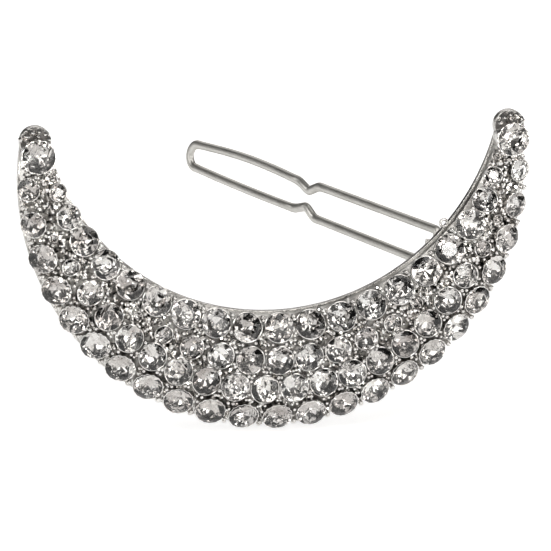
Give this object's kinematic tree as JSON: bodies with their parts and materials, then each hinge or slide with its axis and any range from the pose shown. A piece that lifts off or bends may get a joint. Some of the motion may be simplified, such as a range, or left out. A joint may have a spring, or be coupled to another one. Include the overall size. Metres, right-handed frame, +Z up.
{
  "type": "rhinestone hair clip",
  "caption": "Crescent hair clip with rows of round clear stones in metal cups on a cast plate, and a hinged spring wire clasp behind it.",
  "frame": {"origin": "centre of the crescent's outer edge, in the plane of the plate's back", "axes": "+Z up towards the tips, +Y backwards from the plate's back towards the hair and the clasp, stones face -Y, +X to the right arm where the clasp is hinged"},
  "size_m": [0.064, 0.052, 0.039],
  "materials": {
    "plated_alloy": "polished",
    "stone_glass": "polished",
    "clasp_steel": "polished",
    "fitting_steel": "satin"
  },
  "bodies": {
    "crescent": {"base_plate": "plated_alloy", "hinge_lug": "fitting_steel", "catch_hook": "fitting_steel", "edge_ring": "plated_alloy", "outer_cups_left": "plated_alloy", "outer_cups_right": "plated_alloy", "lower_cups_left": "plated_alloy", "lower_cups_right": "plated_alloy", "upper_cups_left": "plated_alloy", "upper_cups_right": "plated_alloy", "inner_cups_left": "plated_alloy", "inner_cups_right": "plated_alloy", "end_cups_left": "plated_alloy", "end_cups_right": "plated_alloy", "tip_cup_left": "plated_alloy", "tip_cup_right": "plated_alloy", "outer_stones_left": "stone_glass", "outer_stones_right": "stone_glass", "lower_stones_left": "stone_glass", "lower_stones_right": "stone_glass", "upper_stones_left": "stone_glass", "upper_stones_right": "stone_glass", "inner_stones_left": "stone_glass", "inner_stones_right": "stone_glass", "end_stones_left": "stone_glass", "end_stones_right": "stone_glass", "tip_stone_left": "stone_glass", "tip_stone_right": "stone_glass", "outer_beads": "plated_alloy", "inner_beads": "plated_alloy", "tip_beads": "plated_alloy"},
    "clasp": {"clasp_wire": "clasp_steel"}
  },
  "joints": [
    {"name": "clasp_hinge", "type": "hinge", "parent": "crescent", "child": "clasp", "pos_m": [0.0212, 0.0016, -0.011], "axis": [-0.165, 0, -0.9863], "range_deg": [-63.5, 46.5]}
  ]
}
